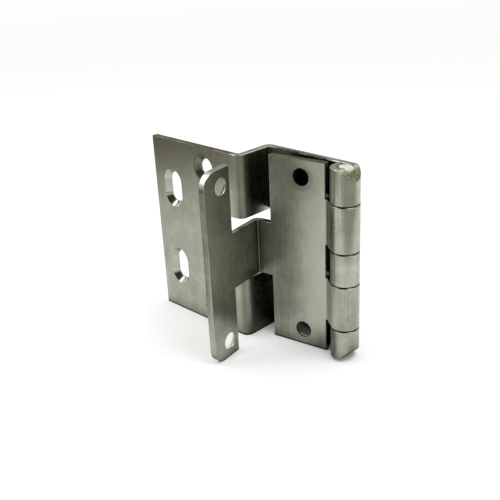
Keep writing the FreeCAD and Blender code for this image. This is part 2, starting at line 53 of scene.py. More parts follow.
CAD_BOX = [list(corner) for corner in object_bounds()]
FLOOR_LEVEL = CAD_BOX[0][2]
HINGE_MIDDLE = (Vector(CAD_BOX[0]) + Vector(CAD_BOX[1])) / 2
MM = 0.001
# Places in mm, from the frame: the ends of the leaves, the front of the strip, the pin's axis, the knuckles'
# radius, and the sheet's thickness, because the back of the wing is at the frame's origin.
LEAF_LOW, LEAF_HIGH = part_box("slotted_leaf")
BOTTOM = LEAF_LOW.z / MM
TOP = LEAF_HIGH.z / MM
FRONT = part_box("wrap_leaf")[0].y / MM
AXIS_X, AXIS_Y = [place / MM for place in frame["joints"][0]["pos_m"][:2]]
KNUCKLE_RADIUS = LEAF_HIGH.x / MM - AXIS_X
SHEET = -LEAF_LOW.y / MM
MOUNTS = {mount["name"]: mount for mount in frame["record"]["mounts"]}

WHITE = (1.0, 1.0, 1.0, 1.0)
BLACK = (0.0, 0.0, 0.0, 1.0)


class Patch(NamedTuple):
    """Place on a piece that a film covers or where the painted shade is lifted, on faces that look about one way.
    """

    share: float
    # Middle in mm, how much each axis counts, and where the patch begins to fade and ends, in mm from there.
    centre: tuple
    stretch: tuple
    full: float
    last: float
    # Where the patch looks, and the least cosine between that way and a face.
    way: tuple
    least: float


class Sink(NamedTuple):
    """Pair of bright countersinks, by the upper one's middle and reach in mm, and where its mouth looks."""

    centre: tuple
    reach: float
    way: tuple


def opposite(way):
    """Way that the other side of a sheet looks."""
    return tuple(-part for part in way)


def upper_hole(mount, spacing):
    """Middle in mm of the upper one of a mount's two holes, half the sheet behind the face that it is on."""
    x, y, _ = [
        place / MM - part * SHEET / 2 for place, part in zip(MOUNTS[mount]["pos_m"], MOUNTS[mount]["axis"])
    ]
    return (x, y, MOUNTS[mount]["dims"][spacing] / 2)


# Slant of the tips from the level ends, and its turn towards the front.
TIP_ANGLE = math.radians(47.0)
TIP_TURN = math.radians(5.0)
# Ways that faces of the hinge look.
UP = (0.0, 0.0, 1.0)
DOWN = (0.0, 0.0, -1.0)
WING_FRONT = (0.0, -1.0, 0.0)
JOG_FRONT = (1.0, 0.0, 0.0)
BEND_FRONT = (0.9, -0.44, 0.0)
PLATE_FRONT = tuple(MOUNTS["plate_holes"]["axis"])
PLATE_BACK = opposite(PLATE_FRONT)
CORNER_FRONT = (0.83, -0.56, 0.0)
STRIP_BACK = opposite(MOUNTS["strip_holes"]["axis"])
STRIP_CORNER = (0.12, -0.7, 0.7)
BARREL_LEFT = (-0.7, -0.7, 0.0)
BARREL_RIGHT = (0.7, -0.7, 0.0)
SLANT = (
    math.sin(TIP_ANGLE) * math.cos(TIP_TURN),
    -math.sin(TIP_ANGLE) * math.sin(TIP_TURN),
    math.cos(TIP_ANGLE),
)
LOW_SLANT = (SLANT[0], SLANT[1], -SLANT[2])
# Line in mm up the left of the knuckles, and the front of the jog.
LEFT_X = AXIS_X + BARREL_LEFT[0] * KNUCKLE_RADIUS
LEFT_Y = AXIS_Y + BARREL_LEFT[1] * KNUCKLE_RADIUS
JOG_X = 35.9
# Stretches of a patch: alike on every axis, right through the wing, and all the way up the hinge.
EVEN = (1.0, 1.0, 1.0)
FLAT = (1.0, 0.0, 1.0)
UPRIGHT = (1.0, 1.0, 0.0)

# Bright countersinks of each leaf, and the upper round hole of the wing.
WING_SINKS = (Sink(upper_hole("wing_slots", "spacing_y_mm"), 8.0, WING_FRONT),)
WRAP_SINKS = (
    Sink(upper_hole("plate_holes", "pcd_mm"), 5.6, PLATE_BACK),
    Sink(upper_hole("strip_holes", "pcd_mm"), 5.6, STRIP_BACK),
)
WING_HOLE = upper_hole("wing_holes", "spacing_y_mm")
# Films on each leaf, by their colour setting. A later film lies over an earlier one.
WING_FILMS = (
    # Handling on the wing, and a brown film towards its top, partly oil stain and partly a painted dark
    # reflection.
    ("dull_steel", Patch(0.5, (0.0, 0.0, 5.0), FLAT, 18.0, 40.0, WING_FRONT, 0.7)),
    ("stain_and_reflection", Patch(0.3, (-20.0, 0.0, 70.0), FLAT, 38.0, 72.0, WING_FRONT, 0.7)),
    ("stain_and_reflection", Patch(0.7, (33.0, 0.0, 42.0), FLAT, 11.0, 25.0, WING_FRONT, 0.7)),
    # Patina and painted shade on the upper round hole, the bend, and the foot of the jog and of the barrel.
    ("patina_and_shade", Patch(0.65, WING_HOLE, EVEN, 5.0, 6.0, WING_FRONT, 0.2)),
    ("dull_steel", Patch(0.9, (35.0, -1.5, 0.0), UPRIGHT, 2.6, 4.2, BEND_FRONT, 0.3)),
    ("patina_and_shade", Patch(0.3, (35.0, -1.5, 0.0), UPRIGHT, 2.6, 4.2, BEND_FRONT, 0.5)),
    ("patina_and_shade", Patch(0.7, (JOG_X, 6.0, -36.0), (0.0, 1.0, 1.0), 5.0, 15.0, JOG_FRONT, 0.6)),
    # Painted shade on the left of the fixed knuckles, most of all the lowest, and on the right of the lower ones.
    ("patina_and_shade", Patch(0.25, (LEFT_X, LEFT_Y, 0.0), UPRIGHT, 2.5, 6.5, BARREL_LEFT, 0.4)),
    ("patina_and_shade", Patch(0.95, (LEFT_X, LEFT_Y, -28.0), (1.0, 1.0, 0.5), 2.8, 6.5, BARREL_LEFT, 0.5)),
    ("patina_and_shade", Patch(0.08, (AXIS_X, AXIS_Y, -22.0), (3.0, 3.0, 1.0), 18.0, 26.0, BARREL_RIGHT, 0.5)),
    # The sheared top edge; painted shadow on the bottom edge, the foot of the jog and the low tip; and darker
    # along the web's top.
    ("sheared_edge", Patch(0.9, (10.0, 0.0, TOP), (1.0, 0.0, 20.0), 20.0, 24.0, UP, 0.3)),
    ("grime_and_shade", Patch(0.8, (28.3, 0.0, BOTTOM), (1.0, 0.0, 20.0), 38.0, 40.0, DOWN, 0.2)),
    ("grime_and_shade", Patch(0.5, (JOG_X, 6.5, BOTTOM), EVEN, 5.0, 12.0, JOG_FRONT, 0.6)),
    ("grime_and_shade", Patch(0.9, (AXIS_X, AXIS_Y, -33.0), EVEN, 8.0, 10.0, LOW_SLANT, 0.75)),
    ("grime_and_shade", Patch(0.85, (50.5, 12.0, TOP), (1.0, 8.0, 20.0), 12.0, 17.0, UP, 0.3)),
)
WRAP_FILMS = (
    # A painted reflection that lightens the right of the plate, and patina with painted shade in the corner beside
    # the neck.
    ("light_steel_and_highlight", Patch(0.6, (62.5, 0.0, 0.0), (1.0, 0.0, 0.0), 3.0, 9.0, PLATE_FRONT, 0.7)),
    ("patina_and_shade", Patch(0.62, (38.3, 4.5, 0.0), (1.0, 0.5, 0.0), 3.0, 21.0, CORNER_FRONT, 0.3)),
    # Round the upper hole of the plate, and painted shade at its low corner.
    ("patina_and_shade", Patch(0.25, (55.8, 7.2, 27.0), EVEN, 4.0, 8.0, PLATE_FRONT, 0.7)),
    ("patina_and_shade", Patch(0.48, (55.6, 7.2, 28.0), EVEN, 3.6, 5.0, PLATE_FRONT, 0.7)),
    ("patina_and_shade", Patch(0.68, (65.3, 9.0, -36.0), EVEN, 3.0, 14.0, PLATE_FRONT, 0.7)),
    # The lower moving knuckle, with painted shade on the right and lighter on the left.
    ("patina_and_shade", Patch(0.27, (AXIS_X, AXIS_Y, -22.0), (3.0, 3.0, 1.0), 18.0, 26.0, BARREL_RIGHT, 0.5)),
    ("light_steel_and_highlight", Patch(0.9, (LEFT_X, LEFT_Y, -16.0), (1.0, 1.0, 0.4), 2.8, 6.0, BARREL_LEFT, 0.2)),
    # The rim of the strip, a painted highlight on its top corner, and the edges of the plate, with painted shadow
    # on the bottom one.
    ("sheared_edge", Patch(0.5, (40.3, FRONT, 12.0), (1.0, 1.0, 0.06), 1.4, 2.4, PLATE_FRONT, 0.7)),
    ("peened_end_and_glint", Patch(0.33, (40.9, -22.3, 33.6), EVEN, 2.4, 4.4, STRIP_CORNER, 0.6)),
    ("sheared_edge", Patch(0.9, (53.3, 0.0, TOP), (1.0, 0.0, 5.0), 11.0, 12.0, UP, 0.4)),
    ("grime_and_shade", Patch(0.8, (53.3, 0.0, BOTTOM), (1.0, 0.0, 5.0), 14.0, 16.0, DOWN, 0.2)),
)
# Places of the slotted leaf where the painted shade is lifted, which paints light on them: the foot of the jog
# above the window, and the web behind the lower hole of the plate.
WING_UNSHADED = (
    Patch(1.0, (JOG_X, 8.2, 12.0), (1.0, 0.9, 1.3), 3.6, 5.8, JOG_FRONT, 0.6),
    Patch(0.85, (50.8, 12.6, -31.8), EVEN, 3.4, 5.0, WING_FRONT, 0.6),
)

# A patch thins out over this much of the cosine between a face and the way that the patch looks.
PATCH_EDGE = 0.3
# Full angle of a countersink, the cosine that this gives between its slope and the way that its mouth looks,
# and how far a face may be from that.
SINK_ANGLE = math.radians(82.0)
SINK_LEAN = math.sin(SINK_ANGLE / 2)
SINK_SLACK = 0.05
# Cosines with a ground way from which a face begins to be ground, and is ground.
GROUND_FACING = (0.985, 0.995)
# Heights in mm between which a painted highlight turns a ground tip pale, and how far it does.
HIGHLIGHT_HEIGHTS = (TOP - 1.6, TOP)
HIGHLIGHT_SHARE = 0.9
# Low and high values of the grit on a ground tip, and how much darker and paler they make it.
GRIT_VALUES = (0.38, 0.62)
GRIT_TONES = (-0.2, 0.3)
# How much lines and grit count beside patches of oil, and the sums at which the sheet is dull and light.
LINE_WEIGHT = 0.8
GRIT_WEIGHT = 0.3
RUBBED_SUMS = (0.77, 1.33)
# How much of a film is on dull and on rubbed sheet, because rubbing wears it away along the brushed lines.
FILM_LEFT = (1.25, 0.75)
# Roughness of dull and of rubbed sheet, of a film, of a fresh cut and of a ground face.
SHEET_ROUGHNESS = (0.31, 0.22)
FILM_ROUGHNESS = 0.42
TURNED_ROUGHNESS = 0.18
GROUND_ROUGHNESS = 0.55
# Depth in mm of the lines and the grit, and how strongly they show.
RELIEF_DEPTH = 0.02
RELIEF_STRENGTH = 0.4
# The way of the brushed lines, a little off the pin, so that level faces have a way across them too, and how
# far the lines widen reflections.
BRUSH_WAY = (0.03, 0.02, 1.0)
BRUSH_SPREAD = 0.25
# Painted shade in seams and corners: how far in mm it feels for other steel, and how open a place is where it is
# full and where it ends.
SEAM_REACH = 1.2
SEAM_OPENNESS = (0.68, 0.97)
CORNER_REACH = 12.0
CORNER_OPENNESS = (0.2, 0.75)
# How much of the steel's colour the painted shade leaves in the deepest corner.
CORNER_SHADE_LEFT = 0.03
# Rays that feel for painted shade at a point, on the steel and on the paper.
SHADE_SAMPLES = 16

# Side of the square of paper, in metres.
PAPER_SIDE = 4.0
# Shade on the paper: its reach in mm, how open a place is where it is deepest and where it ends, and what
# light is left in it.
SHADE_REACH = 15.0
SHADE_OPENNESS = (0.1, 0.45)
SHADE_LEFT = 0.15
# Lift of the paper near the hinge and far away, and both distances in metres.
LIFTS = (0.29, 0.43)
LIFT_DISTANCES = (0.3, 1.2)
# Cards that only the steel mirrors: name, colour setting, size and place in metres, tilt and swing. They are
# turned with the camera, and the table's cards lie just over the paper.
CARD_LEVEL = FLOOR_LEVEL + 0.2 * MM
CARDS = (
    ("table_at_left", "table", (0.7, 1.2), (-0.515, 0.0, CARD_LEVEL), 0.0, 0.0),
    ("table_in_front", "near_table", (1.0, 0.6), (0.253, -0.386, CARD_LEVEL), 0.0, 0.35),
    ("wall_behind", "wall", (2.0, 0.55), (0.6, 0.8, 0.345), math.pi / 2, 0.0),
    ("room_in_front", "room", (2.4, 1.3), (0.0, -0.633, 0.663), 0.96, 0.0),
)
# Softboxes: name, power setting, way from the hinge, way of the long side, and size in metres.
SOFTBOXES = (
    ("left_softbox", "left_power", (-0.53, -0.42, 0.73), (-0.15, 0.87, 0.48), (0.16, 0.5)),
    ("right_softbox", "right_power", (0.50, 0.10, 0.86), (0.0, 1.0, 0.0), (0.28, 0.28)),
)
SOFTBOX_DISTANCE = 0.55
# Width in mm of the frame that the lens is given for, and where the camera begins to see, in metres.
FRAME_WIDTH = 36
NEAREST_SIGHT = 0.01


def linear(code):
    """Linear red, green and blue of an sRGB hex colour."""
    channels = [int(code[start:start + 2], 16) / 255 for start in (1, 3, 5)]
    return [c / 12.92 if c <= 0.04045 else ((c + 0.055) / 1.055) ** 2.4 for c in channels]


def colour_property(name, description, code):
    """Colour that a user may change, from its sRGB hex value."""
    return FloatVectorProperty(
        name=name, description=description, default=linear(code), subtype="COLOR", min=0, max=1
    )


def length_property(name, description, millimetres):
    """Length that a user may change, kept in metres."""
    return FloatProperty(
        name=name, description=description, default=millimetres * MM, unit="LENGTH", precision=5
    )


class HingeSteelSettings(bpy.types.PropertyGroup):
    """Colours and grain of the hinge's steel."""

    # Light steel is also a painted reflection on the right of the plate, and lightens the left of the lower moving
    # knuckle.
    light_steel_and_highlight: colour_property("Light steel", "Freshly rubbed sheet", "#B4B8AA")
    dull_steel: colour_property("Dull steel", "Sheet that has dulled in handling", "#929687")
    # Oil stain is partly oil and partly a painted dark reflection towards the top of the wing.
    stain_and_reflection: colour_property("Oil stain", "Thin brown film towards the top of the wing", "#7C7360")
    # Patina is also the colour of painted shade by the knuckles, in the corner beside the neck, on the bend and
    # round the upper round hole of the wing.
    patina_and_shade: colour_property("Patina", "Dark film in corners, in bends and by holes", "#5D6155")
    sheared_edge: colour_property("Sheared edge", "Dull ends of the sheet, as they were sheared", "#4B4C36")
    turned_steel: colour_property("Turned steel", "Fresh cut of the bright countersinks", "#B2B3A7")
    ground_slant: colour_property("Ground slant", "Grey-green low side of the ground tips", "#696D50")
    # Ground end is a painted highlight on the high side of the ground tips.
    ground_end_highlight: colour_property("Ground end", "Pale high side of the ground tips", "#C9CAB4")
    # Peened end is the bright pin end, partly a painted highlight, and a painted highlight on the strip's top
    # corner.
    peened_end_and_glint: colour_property("Peened end", "Bright end of the pin and corner of the strip", "#FAFAF2")
    # Grime is mostly painted shade: in seams, in deep corners, on low edges and under the low tip.
    grime_and_shade: colour_property("Grime", "What collects in seams, in corners and on low edges", "#171613")
    brush_spacing: length_property("Brush spacing", "Width of one brushed line", 0.45)
    brush_length: length_property("Brush length", "Run of one brushed line along the pin", 24)
    mottle_size: length_property("Mottle size", "Patches where the sheet took up oil", 6)
    grit_size: length_property("Grit size", "Pits in the sheet and scratches on the ground tips", 0.8)


class HingeStageSettings(bpy.types.PropertyGroup):
    """Floor, lamps and camera."""

    floor: colour_property("Floor", "Pale paper under the hinge", "#FDFDFC")
    table: colour_property("Table", "Brown table left of the paper, which only the steel shows", "#75705A")
    near_table: colour_property(
        "Near table", "Table in front of the paper, which only the steel shows", "#C0BDB2"
    )
    wall: colour_property("Wall", "Grey wall far behind, which only the steel shows", "#B9B9B0")
    room: colour_property("Room", "Dim room behind the camera, which only the steel shows", "#454339")
    ambient: FloatProperty(
        name="Ambient", description="Light from all round", default=0.58, min=0, subtype="FACTOR"
    )
    left_power: FloatProperty(
        name="Left softbox", description="Power of the tall box at the left", default=0.62, unit="POWER"
    )
    right_power: FloatProperty(
        name="Right softbox", description="Power of the box above, to the right", default=0.8, unit="POWER"
    )
    camera_place: FloatVectorProperty(
        name="Camera",
        description="Where the camera stands",
        default=(0.219191, -0.179610, 0.112869),
        subtype="TRANSLATION",
        unit="LENGTH",
    )
    camera_turn: FloatProperty(
        name="Turn", description="Camera round the hinge", default=math.radians(45.441), unit="ROTATION"
    )
    camera_fall: FloatProperty(
        name="Fall", description="Camera below the level", default=math.radians(23.825), unit="ROTATION"
    )
    camera_roll: FloatProperty(
        name="Roll", description="Camera about its own axis", default=math.radians(-2.897), unit="ROTATION"
    )
    lens: FloatProperty(
        name="Lens", description="Focal length on a 36 mm frame", default=56.663, unit="CAMERA"
    )


def add_node(tree, kind, inputs=None, **settings):
    """Add a node with its settings, and fill each named input with a value or a link."""
    node = tree.nodes.new(kind)
    for name, setting in settings.items():
        setattr(node, name, setting)
    for socket, given in (inputs or {}).items():
        if isinstance(given, bpy.types.NodeSocket):
            tree.links.new(given, node.inputs[socket])
        else:
            node.inputs[socket].default_value = given
    return node


def opaque(colour):
    """Colour with full cover, as a shader's socket takes it."""
    return (*colour, 1.0)


def new_material(name):
    """Material with nothing in it but its output."""
    material = bpy.data.materials.new(name)
    material.use_nodes = True
    tree = material.node_tree
    tree.nodes.clear()
    return material, add_node(tree, "ShaderNodeOutputMaterial")


def upper_half(tree, vector):
    """The same point or normal in the upper half, because the hinge is alike above and below its middle."""
    parts = add_node(tree, "ShaderNodeSeparateXYZ", {0: vector})
    rise = add_node(tree, "ShaderNodeMath", {0: parts.outputs["Z"]}, operation="ABSOLUTE")
    folded = add_node(tree, "ShaderNodeCombineXYZ", {
        0: parts.outputs["X"], 1: parts.outputs["Y"], 2: rise.outputs["Value"],
    })
    return folded.outputs["Vector"]


def patch_mask(tree, place, patch):
    """Share of a patch by the distance from its middle, on faces that look its way."""
    shift = add_node(tree, "ShaderNodeVectorMath", {
        0: place.outputs["Object"], 1: [length * MM for length in patch.centre],
    }, operation="SUBTRACT")
    spread = add_node(tree, "ShaderNodeVectorMath", {
        0: shift.outputs["Vector"], 1: patch.stretch,
    }, operation="MULTIPLY")
    away = add_node(tree, "ShaderNodeVectorMath", {0: spread.outputs["Vector"]}, operation="LENGTH")
    fade = add_node(tree, "ShaderNodeMapRange", {
        "Value": away.outputs["Value"],
        "From Min": patch.last * MM,
        "From Max": patch.full * MM,
        "To Max": patch.share,
    }, interpolation_type="SMOOTHSTEP")
    facing = add_node(tree, "ShaderNodeVectorMath", {
        0: place.outputs["Normal"], 1: patch.way,
    }, operation="DOT_PRODUCT")
    on_side = add_node(tree, "ShaderNodeMapRange", {
        "Value": facing.outputs["Value"], "From Min": patch.least, "From Max": patch.least + PATCH_EDGE,
    }, interpolation_type="SMOOTHSTEP")
    mask = add_node(tree, "ShaderNodeMath", {
        0: fade.outputs["Result"], 1: on_side.outputs["Result"],
    }, operation="MULTIPLY")
    return mask.outputs["Value"]


def sink_mask(tree, spot, look, sinks):
    """One on the slopes of the bright countersinks, and nothing elsewhere."""
    mask = 0.0
    for sink in sinks:
        away = add_node(tree, "ShaderNodeVectorMath", {
            0: spot, 1: [length * MM for length in sink.centre],
        }, operation="DISTANCE")
        by_hole = add_node(tree, "ShaderNodeMath", {
            0: away.outputs["Value"], 1: sink.reach * MM,
        }, operation="LESS_THAN")
        lean = add_node(tree, "ShaderNodeVectorMath", {0: look, 1: sink.way}, operation="DOT_PRODUCT")
        sloped = add_node(tree, "ShaderNodeMath", {
            0: lean.outputs["Value"], 1: SINK_LEAN, 2: SINK_SLACK,
        }, operation="COMPARE")
        with_others = add_node(tree, "ShaderNodeMath", {
            0: by_hole.outputs["Value"], 1: sloped.outputs["Value"], 2: mask,
        }, operation="MULTIPLY_ADD")
        mask = with_others.outputs["Value"]
    return mask


def ground_mask(tree, look, ways):
    """One on the faces that were ground, found by the way that they look."""
    mask = 0.0
    begins, full = GROUND_FACING
    for way in ways:
        facing = add_node(tree, "ShaderNodeVectorMath", {0: look, 1: way}, operation="DOT_PRODUCT")
        with_others = add_node(tree, "ShaderNodeMapRange", {
            "Value": facing.outputs["Value"], "From Min": begins, "From Max": full, "To Min": mask,
        })
        mask = with_others.outputs["Result"]
    return mask


# Mild steel sheet, brushed along the pin before it was folded: dull grey with a faint olive cast, fine upright
# lines that widen its reflections sideways, cloudy films of oil, painted shade in the seams, in corners and in
# some films, painted highlights in others, and some bright, freshly cut countersinks.
def brushed_mild_steel(name, steel, ground_end_highlight, films=(), sinks=(), unshaded_places=(), ground_ways=()):
    """Steel with the films, bright countersinks, places where painted shade is lifted, and ground faces of one
    piece.
    """
    material, output = new_material(name)
    tree = material.node_tree
    place = add_node(tree, "ShaderNodeTexCoord")
    surface = add_node(tree, "ShaderNodeNewGeometry")
    spot = upper_half(tree, place.outputs["Object"])
    look = upper_half(tree, place.outputs["Normal"])

    # Real brushed lines are about 0.05 mm wide, and real pits and grinding scratches about 0.2 mm; all are
    # drawn coarser here, so that they show.
    lines_at = add_node(tree, "ShaderNodeMapping", {
        "Vector": place.outputs["Object"],
        "Scale": (1 / steel.brush_spacing, 1 / steel.brush_spacing, 1 / steel.brush_length),
    })
    lines = add_node(tree, "ShaderNodeTexNoise", {
        "Vector": lines_at.outputs["Vector"], "Scale": 1.0, "Detail": 3.0, "Roughness": 0.6,
    })
    patches = add_node(tree, "ShaderNodeTexNoise", {
        "Vector": place.outputs["Object"], "Scale": 1 / steel.mottle_size, "Detail": 5.0, "Roughness": 0.65,
    })
    grit = add_node(tree, "ShaderNodeTexNoise", {
        "Vector": place.outputs["Object"], "Scale": 1 / steel.grit_size, "Detail": 3.0, "Roughness": 0.6,
    })
    worn = add_node(tree, "ShaderNodeMath", {
        0: lines.outputs["Fac"], 1: LINE_WEIGHT, 2: patches.outputs["Fac"],
    }, operation="MULTIPLY_ADD")
    pitted = add_node(tree, "ShaderNodeMath", {
        0: grit.outputs["Fac"], 1: GRIT_WEIGHT, 2: worn.outputs["Value"],
    }, operation="MULTIPLY_ADD")
    dull_sum, light_sum = RUBBED_SUMS
    rubbed = add_node(tree, "ShaderNodeMapRange", {
        "Value": pitted.outputs["Value"], "From Min": dull_sum, "From Max": light_sum,
    })
    sheet = add_node(tree, "ShaderNodeMix", {
        "Factor": rubbed.outputs["Result"],
        6: opaque(steel.dull_steel),
        7: opaque(steel.light_steel_and_highlight),
    }, data_type="RGBA")
    on_dull, on_rubbed = FILM_LEFT
    left_on = add_node(tree, "ShaderNodeMapRange", {
        "Value": rubbed.outputs["Result"], "To Min": on_dull, "To Max": on_rubbed,
    })
    colour = sheet.outputs[2]
    dulled = 0.0
    for setting, patch in films:
        mask = add_node(tree, "ShaderNodeMath", {
            0: patch_mask(tree, place, patch), 1: left_on.outputs["Result"],
        }, operation="MULTIPLY", use_clamp=True)
        filmed = add_node(tree, "ShaderNodeMix", {
            "Factor": mask.outputs["Value"], 6: colour, 7: opaque(getattr(steel, setting)),
        }, data_type="RGBA")
        colour = filmed.outputs[2]
        # Every film dulls the sheet, but the painted highlight on the strip's corner keeps its gloss.
        if setting != "peened_end_and_glint":
            duller = add_node(tree, "ShaderNodeMath", {
                0: mask.outputs["Value"], 1: dulled,
            }, operation="MAXIMUM")
            dulled = duller.outputs["Value"]

    # A bright countersink was cut after the brushing, and is smoother than the sheet.
    sunk = sink_mask(tree, spot, look, sinks)
    turned = add_node(tree, "ShaderNodeMix", {
        "Factor": sunk, 6: colour, 7: opaque(steel.turned_steel),
    }, data_type="RGBA")

    # The tips were ground across the knuckle and pin, which left gritty faces; a painted highlight makes them
    # paler towards the end.
    ground = ground_mask(tree, look, ground_ways)
    rise = add_node(tree, "ShaderNodeSeparateXYZ", {0: spot})
    low_side, high_side = HIGHLIGHT_HEIGHTS
    highlight_by_height = add_node(tree, "ShaderNodeMapRange", {
        "Value": rise.outputs["Z"],
        "From Min": low_side * MM,
        "From Max": high_side * MM,
        "To Max": HIGHLIGHT_SHARE,
    })
    low_grit, high_grit = GRIT_VALUES
    dark_grit, pale_grit = GRIT_TONES
    gritty = add_node(tree, "ShaderNodeMapRange", {
        "Value": grit.outputs["Fac"],
        "From Min": low_grit,
        "From Max": high_grit,
        "To Min": dark_grit,
        "To Max": pale_grit,
    })
    paler = add_node(tree, "ShaderNodeMath", {
        0: highlight_by_height.outputs["Result"], 1: gritty.outputs["Result"],
    }, operation="ADD", use_clamp=True)
    tip = add_node(tree, "ShaderNodeMix", {
        "Factor": paler.outputs["Value"], 6: opaque(steel.ground_slant), 7: opaque(ground_end_highlight),
    }, data_type="RGBA")
    tipped = add_node(tree, "ShaderNodeMix", {
        "Factor": ground, 6: turned.outputs[2], 7: tip.outputs[2],
    }, data_type="RGBA")

    # Painted shade darkens the narrow seams between the knuckles and the deep inner corners, by how closed in each
    # place is.
    in_seam = add_node(tree, "ShaderNodeAmbientOcclusion", {
        "Distance": SEAM_REACH * MM,
    }, samples=SHADE_SAMPLES)
    in_corner = add_node(tree, "ShaderNodeAmbientOcclusion", {
        "Distance": CORNER_REACH * MM,
    }, samples=SHADE_SAMPLES)
    full_seam, past_seam = SEAM_OPENNESS
    seam = add_node(tree, "ShaderNodeMapRange", {
        "Value": in_seam.outputs["AO"], "From Min": full_seam, "From Max": past_seam,
    })
    full_corner, past_corner = CORNER_OPENNESS
    corner = add_node(tree, "ShaderNodeMapRange", {
        "Value": in_corner.outputs["AO"],
        "From Min": full_corner,
        "From Max": past_corner,
        "To Min": CORNER_SHADE_LEFT,
    })
    open_steel = add_node(tree, "ShaderNodeMath", {
        0: seam.outputs["Result"], 1: corner.outputs["Result"],
    }, operation="MULTIPLY")
    unshaded = open_steel.outputs["Value"]
    for patch in unshaded_places:
        with_patch = add_node(tree, "ShaderNodeMath", {
            0: patch_mask(tree, place, patch), 1: unshaded,
        }, operation="MAXIMUM")
        unshaded = with_patch.outputs["Value"]
    shown = add_node(tree, "ShaderNodeMix", {
        "Factor": unshaded, 6: opaque(steel.grime_and_shade), 7: tipped.outputs[2],
    }, data_type="RGBA")

    dull_sheet, rubbed_sheet = SHEET_ROUGHNESS
    sheet_roughness = add_node(tree, "ShaderNodeMapRange", {
        "Value": rubbed.outputs["Result"], "To Min": dull_sheet, "To Max": rubbed_sheet,
    })
    film_roughness = add_node(tree, "ShaderNodeMix", {
        0: dulled, 2: sheet_roughness.outputs["Result"], 3: FILM_ROUGHNESS,
    }, data_type="FLOAT")
    turned_roughness = add_node(tree, "ShaderNodeMix", {
        0: sunk, 2: film_roughness.outputs[0], 3: TURNED_ROUGHNESS,
    }, data_type="FLOAT")
    roughness = add_node(tree, "ShaderNodeMix", {
        0: ground, 2: turned_roughness.outputs[0], 3: GROUND_ROUGHNESS,
    }, data_type="FLOAT")

    relief = add_node(tree, "ShaderNodeMix", {
        0: ground, 2: lines.outputs["Fac"], 3: grit.outputs["Fac"],
    }, data_type="FLOAT")
    bump = add_node(tree, "ShaderNodeBump", {
        "Height": relief.outputs[0], "Strength": RELIEF_STRENGTH, "Distance": RELIEF_DEPTH * MM,
    })

    # Brushing along the pin spreads reflections across it, whichever way a face looks.
    across = add_node(tree, "ShaderNodeVectorMath", {
        0: surface.outputs["Normal"], 1: BRUSH_WAY,
    }, operation="CROSS_PRODUCT")
    tangent = add_node(tree, "ShaderNodeVectorMath", {0: across.outputs["Vector"]}, operation="NORMALIZE")

    shader = add_node(tree, "ShaderNodeBsdfPrincipled", {
        "Base Color": shown.outputs[2],
        "Metallic": 1.0,
        "Roughness": roughness.outputs[0],
        "Anisotropic": BRUSH_SPREAD,
        "Normal": bump.outputs["Normal"],
        "Tangent": tangent.outputs["Vector"],
    })
    tree.links.new(shader.outputs["BSDF"], output.inputs["Surface"])
    return material


def finish_node(node, material):
    """Give a piece of the hinge its material."""
    slots = frame["nodes"][node].material_slots
    if not slots:
        raise RuntimeError(f"{node} has no material slot")
    for slot in slots:
        slot.material = material


class HINGE_OT_finish_slotted_leaf(bpy.types.Operator):
    """Brushed steel for the leaf with the wing, which took up the most oil"""

    bl_idname = "hinge.finish_slotted_leaf"
    bl_label = "Finish Slotted Leaf"

    def execute(self, context):
        steel = context.scene.hinge_steel
        material = brushed_mild_steel(
            "brushed_steel_slotted_leaf",
            steel,
            steel.ground_end_highlight,
            films=WING_FILMS,
            sinks=WING_SINKS,
            unshaded_places=WING_UNSHADED,
            ground_ways=(SLANT,),
        )
        finish_node("slotted_leaf", material)
        return {"FINISHED"}


class HINGE_OT_finish_wrap_leaf(bpy.types.Operator):
    """Brushed steel for the leaf that wraps round the door"""

    bl_idname = "hinge.finish_wrap_leaf"
    bl_label = "Finish Wrap Leaf"

    def execute(self, context):
        steel = context.scene.hinge_steel
        material = brushed_mild_steel(
            "brushed_steel_wrap_leaf", steel, steel.ground_end_highlight, films=WRAP_FILMS, sinks=WRAP_SINKS
        )
        finish_node("wrap_leaf", material)
        return {"FINISHED"}


class HINGE_OT_finish_pin(bpy.types.Operator):
    """Drawn steel for the pin, ground flush with the tips"""

    bl_idname = "hinge.finish_pin"
    bl_label = "Finish Pin"

    def execute(self, context):
        steel = context.scene.hinge_steel
        material = brushed_mild_steel(
            "drawn_steel_hinge_pin", steel, steel.peened_end_and_glint, ground_ways=(SLANT, UP)
        )
        finish_node("hinge_pin", material)
        return {"FINISHED"}


def seen_ray(tree):
    """One where the camera, a reflection or glass looks at the stage, and nothing where it gives light."""
    path = add_node(tree, "ShaderNodeLightPath")
    mirrored = add_node(tree, "ShaderNodeMath", {
        0: path.outputs["Is Camera Ray"], 1: path.outputs["Is Glossy Ray"],
    }, operation="MAXIMUM")
    seen = add_node(tree, "ShaderNodeMath", {
        0: mirrored.outputs["Value"], 1: path.outputs["Is Transmission Ray"],
    }, operation="MAXIMUM")
    return seen.outputs["Value"]


